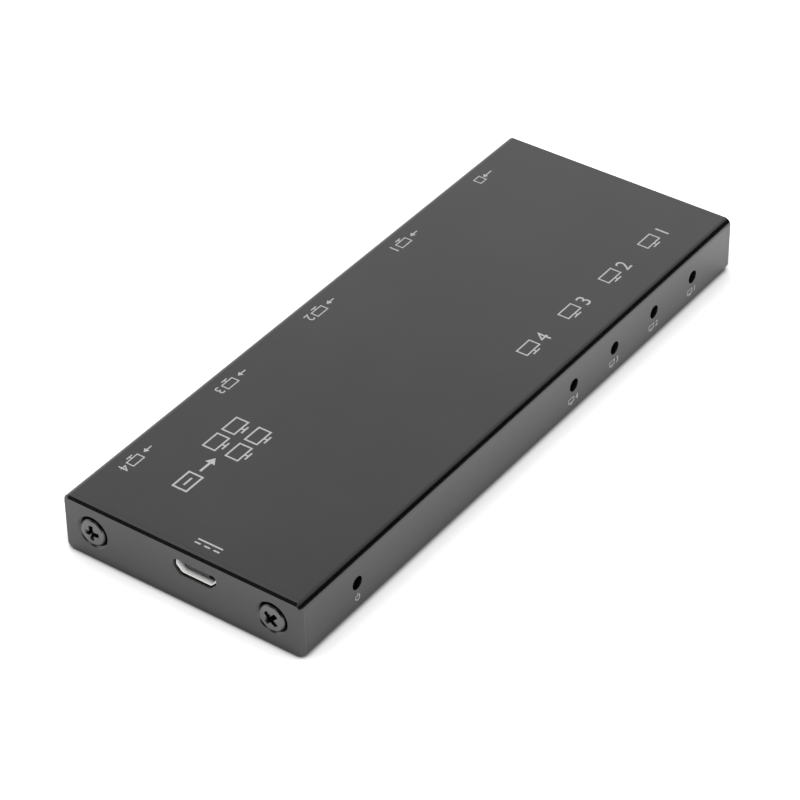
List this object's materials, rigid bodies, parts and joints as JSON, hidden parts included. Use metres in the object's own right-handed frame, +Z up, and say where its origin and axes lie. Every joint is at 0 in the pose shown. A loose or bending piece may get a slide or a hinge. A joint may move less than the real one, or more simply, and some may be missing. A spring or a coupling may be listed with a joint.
{
  "type": "hdmi splitter",
  "caption": "Slim flat metal box that repeats one digital video signal to several screens, with video sockets along a long side, lamp holes opposite and a power socket in one end.",
  "frame": {"origin": "middle of the underside", "axes": "+X along the case, away from the end with the power socket; +Y towards the long side with the video sockets; +Z up, from the underside to the top"},
  "size_m": [0.1206, 0.045, 0.0102],
  "materials": {
    "case_paint": "matte dark grey coat",
    "screw_steel": "satin black zinc",
    "nut_steel": "satin",
    "socket_steel": "satin nickel plate",
    "black_plastic": "matte",
    "power_plastic": "matte",
    "gold_contacts": "satin gold plate",
    "film": "satin",
    "circuit_board": "satin",
    "lamp_body": "satin, smoked",
    "chip_epoxy": "matte",
    "pad_rubber": "matte",
    "heat_sink_metal": "satin",
    "inductor_body": "matte",
    "fuse_body": "matte",
    "capacitor_body": "matte"
  },
  "bodies": {
    "housing": {"cover": "case_paint", "base_tray": "case_paint", "clinch_nuts": "nut_steel", "insulating_film": "film", "board_standoffs": "nut_steel", "board_screws": "nut_steel", "main_board": "circuit_board", "output_4_socket_shell": "socket_steel", "output_3_socket_shell": "socket_steel", "output_2_socket_shell": "socket_steel", "output_1_socket_shell": "socket_steel", "input_socket_shell": "socket_steel", "output_4_socket_insulator": "black_plastic", "output_3_socket_insulator": "black_plastic", "output_2_socket_insulator": "black_plastic", "output_1_socket_insulator": "black_plastic", "input_socket_insulator": "black_plastic", "output_4_socket_contacts": "gold_contacts", "output_3_socket_contacts": "gold_contacts", "output_2_socket_contacts": "gold_contacts", "output_1_socket_contacts": "gold_contacts", "input_socket_contacts": "gold_contacts", "power_socket_shell": "socket_steel", "power_socket_insulator": "power_plastic", "power_socket_contacts": "gold_contacts", "power_lamp": "lamp_body", "output_4_lamp": "lamp_body", "output_3_lamp": "lamp_body", "output_2_lamp": "lamp_body", "output_1_lamp": "lamp_body", "splitter_chip": "chip_epoxy", "thermal_pad": "pad_rubber", "heat_sink": "heat_sink_metal", "controller_chip": "chip_epoxy", "memory_chip": "chip_epoxy", "clock_crystal": "nut_steel", "voltage_regulators": "chip_epoxy", "power_inductors": "inductor_body", "power_fuse": "fuse_body", "surge_guards": "chip_epoxy", "capacitors": "capacitor_body", "resistors": "chip_epoxy"},
    "power_end_screw_port_side": {"power_end_screw_port_side": "screw_steel"},
    "power_end_screw_lamp_side": {"power_end_screw_lamp_side": "screw_steel"},
    "far_end_screw_port_side": {"far_end_screw_port_side": "screw_steel"},
    "far_end_screw_lamp_side": {"far_end_screw_lamp_side": "screw_steel"}
  },
  "joints": [
    {"name": "power_end_screw_port_side_turn", "type": "hinge", "parent": "housing", "child": "power_end_screw_port_side", "pos_m": [-0.06, 0.0169, 0.0053], "axis": [-1, 0, 0], "continuous": true},
    {"name": "power_end_screw_lamp_side_turn", "type": "hinge", "parent": "housing", "child": "power_end_screw_lamp_side", "pos_m": [-0.06, -0.0169, 0.0053], "axis": [-1, 0, 0], "continuous": true},
    {"name": "far_end_screw_port_side_turn", "type": "hinge", "parent": "housing", "child": "far_end_screw_port_side", "pos_m": [0.06, 0.0169, 0.0053], "axis": [1, 0, 0], "continuous": true},
    {"name": "far_end_screw_lamp_side_turn", "type": "hinge", "parent": "housing", "child": "far_end_screw_lamp_side", "pos_m": [0.06, -0.0169, 0.0053], "axis": [1, 0, 0], "continuous": true}
  ]
}
